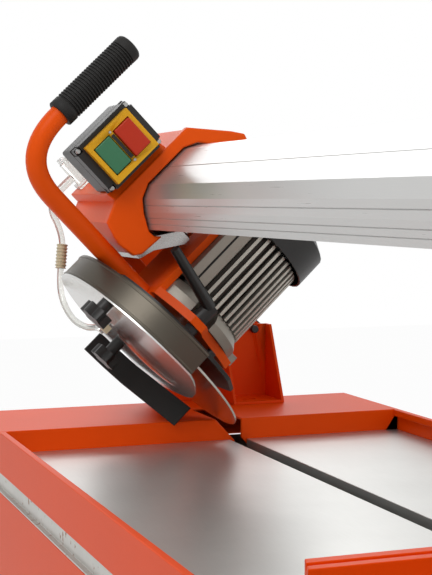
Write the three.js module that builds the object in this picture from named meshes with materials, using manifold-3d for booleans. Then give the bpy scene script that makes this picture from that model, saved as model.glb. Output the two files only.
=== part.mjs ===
// Tile cutter: a bench saw whose motor head slides along a tilting overhead rail.
// Millimetres. X to the right, Y away from the operator along the rail, Z up.
// The model is drawn with Z = 0 on the frame's top face, Y = 0 at the blade's centre, and is moved at the end
// so that the origin lies at the bottom centre of its box.
import * as THREE from 'three';
import { mergeVertices } from 'three/addons/utils/BufferGeometryUtils.js';
import Module from 'manifold-3d';

const wasm = await Module();
wasm.setup();

// ---------------------------------------------------------------- driving dimensions
const gap = 0.3;                 // clearance between pieces that touch
const sheet = 3;                 // folded steel sheet of the stand
const plate = 4;                 // folded steel plate of the members and brackets

const frameLeft = -333;          // outer face of the left rail
const frameWidth = 608;          // outside of one rail to the outside of the other
const openingFront = -870;       // inner edge of the front member
const openingBack = 30;          // inner edge of the back member
const memberDepth = 192;         // each end member along Y
const sideHeight = 56;           // height of the rails and members
const stripHeight = 27;          // galvanised strip showing under the rails
const bodyHeight = 140;          // lower body under the strip
const frameHeight = 740;         // floor to the frame's top face
const tableDrop = 30;            // table surface below the frame's top face
const tableSkirt = 21.5;         // folded edge of a table panel
const slotWidth = 26;            // blade slot between the table panels
const fenceHeight = 36;
const fenceDepth = 34;
const fenceY = -752;             // face of the fence that the tile rests against

const bevel = THREE.MathUtils.degToRad(44);   // stored tilt of the bridge, 0 is upright
const pivotX = 15;               // bevel axis, at the height of the table surface
const pivotR = 10;               // bevel pin
const armThick = 8;
const railPitch = 172.5;          // rail centre from the blade's plane
const railLow = 288;             // underside of the rail above the bevel axis
const railHigh = 86;             // height of the rail section
const clampReach = 171.5;        // bevel clamp from the bevel axis
const clampAngle = THREE.MathUtils.degToRad(54.7);   // bevel clamp above the horizontal
const clampR = 6;

const bladeR = 150;
const bladeThick = 2.8;
const spindleHigh = 193;         // spindle above the bevel axis
const guardR = 163;
const guardOuter = -15;          // outer edge of the guard's rim, from the blade's plane
const guardInner = 20;           // inner edge of the guard's rim
const plateU = 44;               // outer face of the motor plate
const plateThick = 12;
const motorR = 75;
const motorStart = 84;
const motorEnd = 205;
const fanEnd = 269;
const hingeY = 130;              // plunge hinge behind the spindle
const hingeW = 204;
const hingeR = 8;
const carriageFront = -60;
const carriageBack = 145;
const rollerR = 9;
const topRollerR = 11;
const tubeR = 13.5;              // handle tube
const handleU = 39;              // foot of the handle tube
const handleY = -10;
const handleFoot = 265;
const handleCorner = [25, -100, 529];   // where the leaning tube and the grip's line would meet
const handleBend = 78;
const gripR = 19;
const gripStart = 104;
const gripLength = 130;

const steelOrange = { color: 0xe2450d, roughness: 0.32, metalness: 0.1 };
const castOrange = { color: 0xe8480e, roughness: 0.38, metalness: 0.0 };
const galvanised = { color: 0xb9b8b2, roughness: 0.45, metalness: 0.8 };
const aluminium = { color: 0xd4d6d6, roughness: 0.35, metalness: 0.9 };
const castGrey = { color: 0xa9a8a3, roughness: 0.5, metalness: 0.7 };
const guardGrey = { color: 0x6f7271, roughness: 0.35, metalness: 0.7 };
const satinGrey = { color: 0xb4b7b6, roughness: 0.3, metalness: 0.8 };
const black = { color: 0x17171a, roughness: 0.55, metalness: 0.0 };
const rubber = { color: 0x141414, roughness: 0.8, metalness: 0.0 };
const steel = { color: 0xc8cacb, roughness: 0.25, metalness: 1.0 };
const yellow = { color: 0xe9ad20, roughness: 0.4, metalness: 0.0 };
const green = { color: 0x1f7a50, roughness: 0.35, metalness: 0.0 };
const red = { color: 0xc42d22, roughness: 0.35, metalness: 0.0 };
const clearPvc = { color: 0xe6e6de, roughness: 0.2, metalness: 0.0 };
const cream = { color: 0xe0d2ac, roughness: 0.5, metalness: 0.0 };

// ---------------------------------------------------------------- helpers
const V2 = (x, y) => new THREE.Vector2(x, y);
const V3 = (x, y, z) => new THREE.Vector3(x, y, z);

// A closed geometry as a manifold solid, and back.
function solid(geometry) {
  const bare = geometry.index ? geometry.toNonIndexed() : geometry.clone();
  bare.deleteAttribute('normal');
  bare.deleteAttribute('uv');
  const merged = mergeVertices(bare, 1e-4);
  return new wasm.Manifold(new wasm.Mesh({
    numProp: 3,
    vertProperties: new Float32Array(merged.attributes.position.array),
    triVerts: new Uint32Array(merged.index.array),
  }));
}
function geometryOf(made) {
  const mesh = made.getMesh();
  const geometry = new THREE.BufferGeometry();
  geometry.setAttribute('position', new THREE.BufferAttribute(new Float32Array(mesh.vertProperties), 3));
  geometry.setIndex(new THREE.BufferAttribute(new Uint32Array(mesh.triVerts), 1));
  return geometry;
}
const join = (...parts) => geometryOf(parts.map(solid).reduce((a, b) => a.add(b)));
const cut = (base, ...tools) => geometryOf(tools.map(solid).reduce((a, b) => a.subtract(b), solid(base)));

const outline = (points) => new THREE.Shape(points.map(([x, y]) => V2(x, y)));
function disc(x, y, r, sides = 20) {
  const points = [];
  for (let i = 0; i < sides; i += 1) {
    const a = 2 * Math.PI * i / sides;
    points.push([x + r * Math.cos(a), y + r * Math.sin(a)]);
  }
  return points;
}
function arc(x, y, r, from, to, steps) {
  const points = [];
  for (let i = 0; i <= steps; i += 1) {
    const a = from + (to - from) * i / steps;
    points.push([x + r * Math.cos(a), y + r * Math.sin(a)]);
  }
  return points;
}
// An outline drawn in (X, Z) and drawn out along Y from y0 to y1.
function alongY(shape, y0, y1) {
  const g = new THREE.ExtrudeGeometry(shape, { depth: y1 - y0, bevelEnabled: false });
  g.applyMatrix4(new THREE.Matrix4().makeBasis(V3(1, 0, 0), V3(0, 0, 1), V3(0, -1, 0)));
  return g.translate(0, y1, 0);
}
// An outline drawn in (Y, Z) and drawn out along X from x0 to x1.
function alongX(shape, x0, x1) {
  const g = new THREE.ExtrudeGeometry(shape, { depth: x1 - x0, bevelEnabled: false });
  g.applyMatrix4(new THREE.Matrix4().makeBasis(V3(0, 1, 0), V3(0, 0, 1), V3(1, 0, 0)));
  return g.translate(x0, 0, 0);
}
function block(x0, x1, y0, y1, z0, z1) {
  return new THREE.BoxGeometry(x1 - x0, y1 - y0, z1 - z0)
    .translate((x0 + x1) / 2, (y0 + y1) / 2, (z0 + z1) / 2);
}
function rodX(y, z, r, x0, x1, sides = 20) {
  return new THREE.CylinderGeometry(r, r, x1 - x0, sides).rotateZ(-Math.PI / 2).translate((x0 + x1) / 2, y, z);
}
function rodY(x, z, r, y0, y1, sides = 20) {
  return new THREE.CylinderGeometry(r, r, y1 - y0, sides).translate(x, (y0 + y1) / 2, z);
}
function rodZ(x, y, r, z0, z1, sides = 20) {
  return new THREE.CylinderGeometry(r, r, z1 - z0, sides).rotateX(Math.PI / 2).translate(x, y, (z0 + z1) / 2);
}
// A turned piece: profile of [radius, X] drawn round the line y, z.
function turned(profile, y, z, sides = 40) {
  const points = profile.map(([r, x]) => V2(r, x));
  return new THREE.LatheGeometry(points, sides).rotateZ(-Math.PI / 2).translate(0, y, z);
}
// Outline of a star knob's head with round lobes.
function lobes(x, y, inner, outer, count) {
  const points = [];
  const steps = count * 6;
  for (let i = 0; i < steps; i += 1) {
    const a = 2 * Math.PI * i / steps;
    const r = inner + (outer - inner) * (0.5 + 0.5 * Math.cos(count * a));
    points.push([x + r * Math.cos(a), y + r * Math.sin(a)]);
  }
  return points;
}
function add(parent, name, geometry, look) {
  const mesh = new THREE.Mesh(geometry, new THREE.MeshStandardMaterial(look));
  mesh.name = name;
  parent.add(mesh);
  return mesh;
}

const root = new THREE.Group();

// ---------------------------------------------------------------- stand
const frameRight = frameLeft + frameWidth;
const backEdge = openingBack + memberDepth;
const frontEdge = openingFront - memberDepth;
const bodyTop = -sideHeight - stripHeight;
const bodyBottom = bodyTop - bodyHeight;
const floorZ = -frameHeight;
const tableZ = -tableDrop;
const pivotZ = tableZ;

// Folded side rail: outer wall, a hem on top and a ledge that carries the table panel.
function sideRail(outer, inward) {
  const x = (d) => outer + inward * d;
  const ledge = 40;
  const profile = [
    [x(0), 0], [x(9), 0], [x(9), -10], [x(6), -10], [x(6), -sheet], [x(sheet), -sheet],
    [x(sheet), sheet - sideHeight], [x(ledge), sheet - sideHeight], [x(ledge), -sideHeight], [x(0), -sideHeight],
  ];
  return alongY(outline(profile), openingFront + gap, openingBack - gap);
}
add(root, 'left_rail', sideRail(frameLeft, 1), steelOrange);
add(root, 'right_rail', sideRail(frameRight, -1), steelOrange);

// End member: a folded channel, open below, with closed ends, a hole for the bevel pin and a slot for the blade
// that fans out from the bevel axis, so that the blade passes at every tilt.
const bladeSlot = 5;             // half the slot's width at the bevel axis
const bladeSlotDeep = 112;
function endMember(y0, y1, outerWall) {
  const shell = cut(
    block(frameLeft, frameRight, y0, y1, -sideHeight, 0),
    block(frameLeft + plate, frameRight - plate, y0 + plate, y1 - plate, -sideHeight - 1, -plate),
  );
  const fan = (side) => {
    const reach = side * (sideHeight + 10);
    const across = side * bladeSlot;
    return outline([
      [pivotX + across, pivotZ], [pivotX + across, pivotZ + reach],
      [pivotX - across * Math.cos(bevel) - reach * Math.tan(bevel), pivotZ + reach],
      [pivotX - across * Math.cos(bevel), pivotZ - across * Math.sin(bevel)],
    ]);
  };
  const slotY = outerWall > 0 ? [y0 - 1, y0 + bladeSlotDeep] : [y1 - bladeSlotDeep, y1 + 1];
  const wallY = outerWall > 0 ? y1 : y0;
  return cut(shell, alongY(fan(1), ...slotY), alongY(fan(-1), ...slotY),
    rodY(pivotX, pivotZ, pivotR + gap, wallY - 2 * plate, wallY + 2 * plate));
}
add(root, 'back_member', endMember(openingBack, backEdge, 1), steelOrange);
add(root, 'front_member', endMember(frontEdge, openingFront, -1), steelOrange);

// Lower body: a skirt of sheet, open above and below, with holes for the leg hinges.
const legY = [backEdge - 72, frontEdge + 72];
const legZ = bodyBottom + 18;
const legTubeR = 15;
const legHingeR = 8;
add(root, 'lower_body', cut(
  block(frameLeft, frameRight, frontEdge, backEdge, bodyBottom, bodyTop),
  block(frameLeft + sheet, frameRight - sheet, frontEdge + sheet, backEdge - sheet, bodyBottom - 1, bodyTop + 1),
  ...legY.map((y) => rodX(y, legZ, legHingeR + gap, frameLeft - 1, frameRight + 1)),
), steelOrange);

// Water tray: hangs by its flange on the lower body, and its upstand carries the frame.
const trayInset = 7;
const trayWall = 2;
const trayFloor = bodyTop - 97;
const trayIn = (d, z0, z1) => block(
  frameLeft + d, frameRight - d, frontEdge + d, backEdge - d, z0, z1);
add(root, 'water_tray', cut(
  join(
    trayIn(trayInset, trayFloor, -sideHeight - gap),
    trayIn(gap, bodyTop + gap, bodyTop + gap + trayWall),
  ),
  trayIn(trayInset + trayWall, trayFloor + trayWall, 1),
), galvanised);

const pumpX = -200;
const pumpY = 130;
add(root, 'water_pump', join(
  rodZ(pumpX, pumpY, 38, trayFloor + trayWall + gap, trayFloor + 62),
  rodZ(pumpX, pumpY, 22, trayFloor + 60, trayFloor + 84),
  rodX(pumpY, trayFloor + 30, 9, pumpX + 20, pumpX + 62),
), black);

// Table panels: folded plates on the rails' ledges, either side of the blade slot.
function tablePanel(x0, x1) {
  const low = tableZ - tableSkirt;
  const profile = [
    [x0, tableZ], [x1, tableZ], [x1, low], [x1 - sheet, low], [x1 - sheet, tableZ - sheet],
    [x0 + sheet, tableZ - sheet], [x0 + sheet, low], [x0, low],
  ];
  return alongY(outline(profile), openingFront + gap, openingBack - gap);
}
add(root, 'table_left', tablePanel(frameLeft + sheet + gap, pivotX - slotWidth / 2), aluminium);
add(root, 'table_right', tablePanel(pivotX + slotWidth / 2, frameRight - sheet - gap), aluminium);

// Fence bars: the tile rests against them, and the blade passes between them.
function fenceBar(x0, x1, slantLeft) {
  const y1 = fenceY;
  const y0 = fenceY - fenceDepth;
  const plan = new THREE.Shape([V2(x0, y0), V2(x1, y0), V2(x1, y1), V2(x0 + slantLeft, y1)]);
  const bar = new THREE.ExtrudeGeometry(plan, { depth: fenceHeight, bevelEnabled: false });
  bar.translate(0, 0, tableZ + gap);
  return cut(bar, block(x0 - 1, x1 + 1, y0 + 12, y0 + 20, tableZ + fenceHeight - 6, tableZ + fenceHeight + 2));
}
add(root, 'fence_left', fenceBar(frameLeft + 95, pivotX - 65, 12), steelOrange);
add(root, 'fence_right', fenceBar(pivotX + 52, frameRight - 26, 0), steelOrange);

// Bevel bracket on an end member: a folded plate with two gussets and a foot.
const bracketX = [55, 138];
const bracketHigh = 118;
const bracketDeep = 72;
const clampX = pivotX + clampReach * Math.cos(clampAngle);
const clampZ = pivotZ + clampReach * Math.sin(clampAngle);
function bracket(wallY, inward) {
  const y = (d) => wallY + inward * d;
  const low = gap;
  const side = outline([[y(0), low], [y(0), bracketHigh], [y(20), bracketHigh], [y(bracketDeep), low + plate],
    [y(bracketDeep), low]]);
  const [x0, x1] = bracketX;
  const ys = [y(0), y(plate)].sort((a, b) => a - b);
  const foot = [y(0), y(bracketDeep)].sort((a, b) => a - b);
  const slotY = [y(40), y(47)].sort((a, b) => a - b);
  const hole = [y(-2), y(2 * plate)].sort((a, b) => a - b);
  return cut(
    join(
      block(x0, x1, ys[0], ys[1], low, bracketHigh),
      block(x0, x1, foot[0], foot[1], low, low + plate),
      alongX(side, x0, x0 + plate),
      alongX(side, x1 - plate, x1),
    ),
    block(80, 102, slotY[0], slotY[1], low - 1, low + plate + 1),
    rodY(clampX, clampZ, clampR + gap, hole[0], hole[1]),
  );
}
add(root, 'rear_bracket', bracket(backEdge, -1), steelOrange);
add(root, 'front_bracket', bracket(frontEdge, 1), steelOrange);

// Bevel pins and clamp knobs, at each end.
const armGap = 4;                // member's outer wall to the arm
function endRod(wallY, outward, x, z, r, from, to, sides) {
  const ys = [wallY + outward * from, wallY + outward * to].sort((a, b) => a - b);
  return rodY(x, z, r, ys[0], ys[1], sides);
}
const armOut = armGap + armThick;
const ends = [['rear', backEdge, 1], ['front', frontEdge, -1]];
for (const [name, wallY, outward] of ends) {
  add(root, `${name}_pivot_pin`, join(
    endRod(wallY, outward, pivotX, pivotZ, pivotR, -plate - 4, armOut + 1, 24),
    endRod(wallY, outward, pivotX, pivotZ, pivotR + 6, armOut + gap, armOut + 8, 6),
    endRod(wallY, outward, pivotX, pivotZ, pivotR + 5, -plate - 8, -plate - gap, 6),
  ), steel);
  const head = outline(lobes(clampX, clampZ, 20, 26, 5));
  const headY = [wallY + outward * (armOut + 10), wallY + outward * (armOut + 26)].sort((a, b) => a - b);
  add(root, `${name}_bevel_knob`, join(
    endRod(wallY, outward, clampX, clampZ, clampR, -plate - 8, armOut + 11),
    endRod(wallY, outward, clampX, clampZ, 13, armOut + gap, armOut + 12),
    alongY(head, headY[0], headY[1]),
  ), black);
}

// Folding leg frames: two tubes, a brace and a hinge stub in each side of the lower body.
const footHigh = 25;
const footWall = 3;
const legX = [frameLeft + sheet + 1 + legTubeR, frameRight - sheet - 1 - legTubeR];
const braceHigh = 145;           // leg brace above the floor
const braceZ = floorZ + braceHigh;
for (const [i, name] of ['rear', 'front'].entries()) {
  const y = legY[i];
  add(root, `${name}_legs`, join(
    rodZ(legX[0], y, legTubeR, floorZ + footWall + gap, legZ + legTubeR, 16),
    rodZ(legX[1], y, legTubeR, floorZ + footWall + gap, legZ + legTubeR, 16),
    rodX(y, braceZ, 11, legX[0], legX[1], 16),
    rodX(y, legZ, legHingeR, frameLeft - 1.5, legX[0], 16),
    rodX(y, legZ, legHingeR, legX[1], frameRight + 1.5, 16),
  ), steelOrange);
  for (const [j, side] of ['left', 'right'].entries()) {
    add(root, `${name}_${side}_foot`, cut(
      rodZ(legX[j], y, legTubeR + footWall, floorZ, floorZ + footHigh, 16),
      rodZ(legX[j], y, legTubeR + gap, floorZ + footWall, floorZ + footHigh + 1, 16),
    ), rubber);
  }
}

// ---------------------------------------------------------------- bridge, tilted about the bevel axis
// Inside the bridge X is measured from the blade's plane along the spindle, and Z from the bevel axis.
const bridge = new THREE.Group();
bridge.position.set(pivotX, 0, pivotZ);
bridge.rotation.y = -bevel;
root.add(bridge);

const railFlat = 34.5;           // half width of the rail's top and underside
const railHalf = [[railFlat, railHigh], [52.5, railHigh - 9], [63.5, railHigh - 23], [75.5, railHigh - 44],
  [railFlat, 0]];
const railPoints = (grow) => {
  const right = railHalf.map(([x, z]) => [railPitch + x + grow * (x > railFlat ? 1 : 0.4),
    railLow + z + grow * (z > 60 ? 1 : z < 1 ? -1 : 0)]);
  const left = right.map(([x, z]) => [2 * railPitch - x, z]).reverse();
  return [...right, ...left];
};
const railFront = frontEdge - armGap + gap;
const railBack = backEdge + armGap - gap;
const railWall = 5;
const railBore = railPoints(-railWall);
const railOuter = railPoints(0);
const grooveU = railPitch + 11;
const grooveDeep = 2;
add(bridge, 'rail', cut(
  alongY(outline(railOuter), railFront, railBack),
  alongY(outline(railBore), railFront - 1, railBack + 1),
  block(grooveU - 2, grooveU + 2, railFront - 1, railBack + 1, railLow + railHigh - grooveDeep,
    railLow + railHigh + 1),
), aluminium);

// End arms: from the bevel pin to the rail's end, with a curved slot for the bevel clamp.
const slotFrom = clampAngle - bevel;
const slotTo = clampAngle;
const armHalf = 87;              // half width of an arm's head, round the rail's end
const armOutline = [
  ...arc(0, 0, 34, -Math.PI * 0.95, -Math.PI * 0.1, 10),
  ...arc(0, 0, clampReach + 14, slotFrom - 0.07, slotTo - 0.1, 8),
  [railPitch + armHalf, railLow + 24], [railPitch + armHalf, railLow + railHigh - 34],
  [railPitch + 46, railLow + railHigh + 8], [railPitch - 46, railLow + railHigh + 8],
  [railPitch - armHalf, railLow + railHigh - 34], [railPitch - armHalf, railLow + 20], [-10, 110],
];
const slotPath = (grow) => [
  ...arc(0, 0, clampReach + clampR + grow, slotFrom, slotTo, 10),
  ...arc(0, 0, clampReach - clampR - grow, slotTo, slotFrom, 10),
];
const slotEnds = [slotFrom, slotTo].map((a) => [clampReach * Math.cos(a), clampReach * Math.sin(a)]);
for (const [name, wallY, outward] of ends) {
  const y = [wallY + outward * armGap, wallY + outward * armOut].sort((a, b) => a - b);
  add(bridge, `${name}_arm`, cut(
    alongY(outline(armOutline), y[0], y[1]),
    alongY(outline(slotPath(0.6)), y[0] - 1, y[1] + 1),
    ...slotEnds.map(([x, z]) => rodY(x, z, clampR + 0.6, y[0] - 1, y[1] + 1)),
    rodY(0, 0, pivotR + gap, y[0] - 1, y[1] + 1),
  ), steelOrange);
}

// Carriage: a casting that wraps over the rail, with a lobe on the blade's side, a pad for the switch box
// and a leg for the plunge hinge.
const castingTop = 393;
const padTop = 404;              // pad under the switch box and the water valve
const casting = [
  [280, 318], [284, 330], [272, 346], [229, castingTop], [90, castingTop], [60, 379], [54, 357], [52.5, 345],
  [56, 322], [66, 315], [103, 312], [95, 320], [94, 330], [106, 352.5], [118, 367.5], [138, 376.5],
  [207, 376.5], [227, 367.5], [239, 352.5], [251, 330], [256, 318],
];
const padSide = [[carriageFront + 1, castingTop - 3], [carriageFront + 13, padTop], [carriageBack, padTop],
  [carriageBack, castingTop - 3]];
const topRollerU = [145, 167];
const topRollerW = railLow + railHigh + gap + topRollerR;
const topRollerY = [carriageFront + 35, carriageBack - 35];
const legU = [62, 100];
const lockU = 186;
const lockY = 60;
const rollerSlots = topRollerY.flatMap((y) => [
  block(topRollerU[0] - 1.5, topRollerU[1] + 1.5, y - topRollerR - 2, y + topRollerR + 2, 370,
    topRollerW + topRollerR + 1.5),
  rodX(y, topRollerW, 4 + gap, topRollerU[0] - 6, topRollerU[1] + 6, 12),
]);
const hingeLeg = outline([
  [hingeY - 15, 318], [hingeY - 15, hingeW], [hingeY - 11, hingeW - 11], [hingeY, hingeW - 15],
  [hingeY + 11, hingeW - 11], [hingeY + 15, hingeW], [hingeY + 15, 318],
]);
add(bridge, 'carriage', cut(
  join(
    alongY(outline(casting), carriageFront, carriageBack),
    alongX(outline(padSide), 89, 190),
    alongX(hingeLeg, legU[0], legU[1] - 7),
  ),
  ...rollerSlots,
  rodX(hingeY, hingeW, hingeR + gap, legU[0] - 1, legU[1] + 1),
  rodZ(lockU, lockY, 5 + gap, 370, padTop + 6),
  rodZ(lockU, lockY, 10 + gap, castingTop, padTop + 6),
), castOrange);
for (const [i, y] of topRollerY.entries()) {
  add(bridge, `top_roller_${i + 1}`, join(
    rodX(y, topRollerW, topRollerR, topRollerU[0], topRollerU[1], 20),
    rodX(y, topRollerW, 4, topRollerU[0] - 5, topRollerU[1] + 5, 12),
  ), steel);
}

// Lower roller bracket: a steel angle under the lobe with a pin for each lower roller.
const lowRollerW = railLow - gap - rollerR;
const lowRollerU = [141, 163];
const lowRollerY = [0, 100];
const angle = outline([[68, 314.4], [101, 311.7], [134, 290], [138, 284], [138, 270.5], [128, 270.5], [90, 296],
  [68, 302]]);
add(bridge, 'roller_bracket', join(
  alongY(angle, lowRollerY[0] - 14, lowRollerY[1] + 10),
  ...lowRollerY.map((y) => rodX(y, lowRollerW, 4, 132, lowRollerU[1] + 3, 12)),
), steel);
for (const [i, y] of lowRollerY.entries()) {
  add(bridge, `lower_roller_${i + 1}`, cut(
    rodX(y, lowRollerW, rollerR, lowRollerU[0], lowRollerU[1], 20),
    rodX(y, lowRollerW, 4 + gap, lowRollerU[0] - 1, lowRollerU[1] + 1, 12),
  ), steel);
}

// Carriage lock: a knob whose screw bears on the rail's top.
add(bridge, 'carriage_lock_knob', join(
  rodZ(lockU, lockY, 5, railLow + railHigh + gap, padTop + 2),
  rodZ(lockU, lockY, 10, castingTop + gap, padTop + 2),
  new THREE.ExtrudeGeometry(outline(lobes(lockU, lockY, 16, 21, 5)), { depth: 14, bevelEnabled: false })
    .translate(0, 0, padTop + 1),
), black);

// Switch box with its bezel and two buttons.
const boxU = [89, 188];
const boxY = [-78, 2];
const boxW = [padTop + gap, 480];
const bezelU = [101, 177];
const bezelW = [410, 474];
const bezelThick = 11;
const buttonU = [[107, 136], [142, 171]];
const buttonW = [419, 465];
add(bridge, 'switch_box', join(
  block(boxU[0], boxU[1], boxY[0] + 8, boxY[1], boxW[0], boxW[1]),
  block(boxU[0] + 3, boxU[1] - 3, boxY[0], boxY[0] + 9, boxW[0] + 3, boxW[1] - 3),
), black);
const bezelY = [boxY[0] - gap - bezelThick, boxY[0] - gap];
add(bridge, 'switch_bezel', cut(
  block(bezelU[0], bezelU[1], bezelY[0], bezelY[1], bezelW[0], bezelW[1]),
  ...buttonU.map(([a, b]) => block(a, b, bezelY[0] - 1, bezelY[1] + 1, buttonW[0], buttonW[1])),
), yellow);
for (const [i, name] of ['green_button', 'red_button'].entries()) {
  const [a, b] = buttonU[i];
  const proud = i === 0 ? 1 : 5;
  add(bridge, name, block(a + gap, b - gap, bezelY[0] - proud, bezelY[1] - 4, buttonW[0] + gap, buttonW[1] - gap),
    i === 0 ? green : red);
}

// Plunge pin through the carriage's leg and the motor plate.
add(bridge, 'plunge_pin', join(
  rodX(hingeY, hingeW, hingeR, plateU - 3, legU[1] + 3),
  rodX(hingeY, hingeW, hingeR + 5, plateU - 7, plateU - gap, 6),
  rodX(hingeY, hingeW, hingeR + 5, legU[1] - 7 + gap, legU[1] + 3, 6),
), steel);

// ---------------------------------------------------------------- head, on the plunge hinge
const shaftR = 12;
const plateLow = 112;
const limbW = [254, 264];
const plateSide = outline([
  [-58, plateLow + 26], [-40, plateLow], [40, plateLow], [62, plateLow + 40], [88, 170],
  [hingeY, hingeW - 16], [hingeY + 14, hingeW - 9], [hingeY + 16, hingeW], [hingeY + 11, hingeW + 12],
  [hingeY, hingeW + 16], [96, 236], [82, limbW[1]], [-48, limbW[1]], [-76, 236], [-92, 212], [-92, 190], [-78, 180],
]);
const leverY = -80;
const leverW = 200;
add(bridge, 'motor_plate', cut(
  join(
    alongX(plateSide, plateU, plateU + plateThick),
    block(plateU, 172, -48, 82, limbW[0], limbW[1]),
    block(24, plateU + 2, handleY - 22, handleY + 22, limbW[0] + 0.2, limbW[1]),
  ),
  rodX(0, spindleHigh, shaftR + 6, plateU - 1, plateU + plateThick + 1, 24),
  rodX(hingeY, hingeW, hingeR + gap, plateU - 1, plateU + plateThick + 1),
  rodX(leverY, leverW, 5 + gap, plateU - 1, plateU + plateThick + 1),
), castOrange);

const plateBack = plateU + plateThick;
const flange = [[shaftR + 4, plateBack + gap], [82, plateBack + gap], [82, plateBack + 14], [72, motorStart - gap],
  [shaftR + 4, motorStart - gap], [shaftR + 4, plateBack + gap]];
add(bridge, 'motor_flange', cut(
  join(
    turned(flange, 0, spindleHigh),
    block(plateBack + gap, plateBack + 16, -14, 14, spindleHigh - 92, spindleHigh - 70),
  ),
  block(plateBack, motorStart + 1, -100, 100, limbW[0] - gap, 300),
  rodX(leverY, leverW, 18, plateBack, motorStart + 1),
), castGrey);

// Motor body: fins all round, except where the terminal box sits and under the top limb.
const fins = 42;
const finRoot = 66;
const finOutline = [];
for (let i = 0; i < fins; i += 1) {
  const step = 2 * Math.PI / fins;
  const tip = 0.2 * step;
  const foot = 0.27 * step;
  for (const [r, a] of [[finRoot, -foot], [motorR, -tip], [motorR, tip], [finRoot, foot]]) {
    const t = i * step + a;
    finOutline.push([r * Math.cos(t), spindleHigh + r * Math.sin(t)]);
  }
}
const boxSide = [[-66, 222], [-66, 253], [44, 253], [44, 244], [-36, 244], [-52, 222]];
const boxPocket = [[-99, 221.7], [-99, 290], [99, 290], [99, 243.7], [-35.8, 243.7], [-51.8, 221.7]];
add(bridge, 'motor_body', cut(
  alongX(outline(finOutline), motorStart, motorEnd),
  alongX(outline(boxPocket), motorStart - 1, motorEnd + 1),
  rodX(0, spindleHigh, shaftR + 1, motorStart - 1, motorEnd + 1, 24),
), castGrey);
add(bridge, 'terminal_box', alongX(outline(boxSide), motorStart + 6, motorEnd - 6), castGrey);
const fanR = 85;
const cover = [[fanR, motorEnd + gap], [fanR, 250], [56, fanEnd], [0, fanEnd], [0, fanEnd - 3], [54, fanEnd - 3],
  [fanR - 3, 249], [fanR - 3, motorEnd + gap], [fanR, motorEnd + gap]];
add(bridge, 'fan_cover', join(
  cut(turned(cover, 0, spindleHigh, 32), block(motorEnd - 5, fanEnd + 5, -99, 99, limbW[0] + 14, 300)),
  block(motorEnd + gap, motorEnd + gap + 3, -84, -64, spindleHigh - 12, spindleHigh + 12),
), black);

// Spindle: motor shaft with the cooling fan, blade, clamping flange and nut.
const fanBlades = 8;
const fanU = [motorEnd + 12, motorEnd + 34];
const bladeSet = [];
for (let i = 0; i < fanBlades; i += 1) {
  const vane = block(fanU[0], fanU[1], -2, 2, 16, 66);
  bladeSet.push(vane.rotateX(2 * Math.PI * i / fanBlades).translate(0, 0, spindleHigh));
}
const nose = -11;
add(bridge, 'motor_shaft', join(
  rodX(0, spindleHigh, shaftR, bladeThick / 2 + gap, fanU[1], 24),
  rodX(0, spindleHigh, 8, nose, bladeThick / 2 + 1, 24),
  rodX(0, spindleHigh, 34, bladeThick / 2 + gap, bladeThick / 2 + 6, 32),
  rodX(0, spindleHigh, 20, fanU[0], fanU[1], 24),
  ...bladeSet,
), steel);
add(bridge, 'blade', cut(
  rodX(0, spindleHigh, bladeR, -bladeThick / 2, bladeThick / 2, 96),
  rodX(0, spindleHigh, 8 + gap, -5, 5, 24),
), steel);
add(bridge, 'blade_flange', cut(
  rodX(0, spindleHigh, 34, -bladeThick / 2 - 4, -bladeThick / 2 - gap, 32),
  rodX(0, spindleHigh, 8 + gap, -20, 5, 24),
), steel);
add(bridge, 'spindle_nut', cut(
  rodX(0, spindleHigh, 17, -bladeThick / 2 - 9, -bladeThick / 2 - 4 - gap, 6),
  rodX(0, spindleHigh, 8 + gap, -20, 5, 24),
), steel);

// Blade guard: rim and inner web in one shell, an outer cover, and a black inner guard.
const rimFrom = Math.PI * (178 + 5) / 180;
const rimTo = Math.PI * 10 / 180;
const rimWall = 3;
const rim = [...arc(0, spindleHigh, guardR, rimTo, rimFrom, 40),
  ...arc(0, spindleHigh, guardR - rimWall, rimFrom, rimTo, 40)];
const web = [...arc(0, spindleHigh, guardR - 1, rimTo, rimFrom, 40), [-60, 176], [60, 176]];
add(bridge, 'guard_shell', cut(
  join(
    alongX(outline(rim), guardOuter, guardInner),
    alongX(outline(web), guardInner - rimWall, guardInner),
  ),
  rodX(0, spindleHigh, 40, 0, guardInner + 5, 32),
), guardGrey);

const coverU = [guardOuter - gap - 2.5, guardOuter - gap];
const coverOutline = [
  ...arc(0, spindleHigh, guardR, rimTo * 0.6, rimFrom, 40),
  [-148, 170], [-120, 153], [-88, 136], [-50, 122], [-10, 115], [60, 117], [104, 121], [126, 128], [136, 142],
  [137, 158], [131, 176], [134, 188],
];
const dishR = [57, 50];
const dish = [[dishR[0], coverU[0]], [dishR[0], coverU[1]], [dishR[1], coverU[1] + 3], [0, coverU[1] + 3],
  [0, coverU[1] + 0.8], [dishR[1] + 1, coverU[1] + 0.8], [dishR[0], coverU[0]]];
const knobSpots = [['upper', -95, 312, 12], ['lower', 80, 215, 20]];
const elbow = [-36, -8, 271];    // hose elbow on the cover
add(bridge, 'guard_cover', cut(
  join(
    cut(alongX(outline(coverOutline), coverU[0], coverU[1]), rodX(0, spindleHigh, dishR[0] - 0.5, -40, 0, 40)),
    turned(dish, 0, spindleHigh, 40),
    block(coverU[0] - 9, coverU[0] + 1, -50, -42, 272, 290),
    rodX(elbow[1], elbow[2], 6, elbow[0] - 5, coverU[0] + 1, 16),
    rodY(elbow[0], elbow[2], 5, elbow[1], elbow[1] + 14, 16),
  ),
  ...knobSpots.map(([, y, w]) => rodX(y, w, 4 + gap, coverU[0] - 5, coverU[1] + 1, 16)),
), satinGrey);

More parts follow.
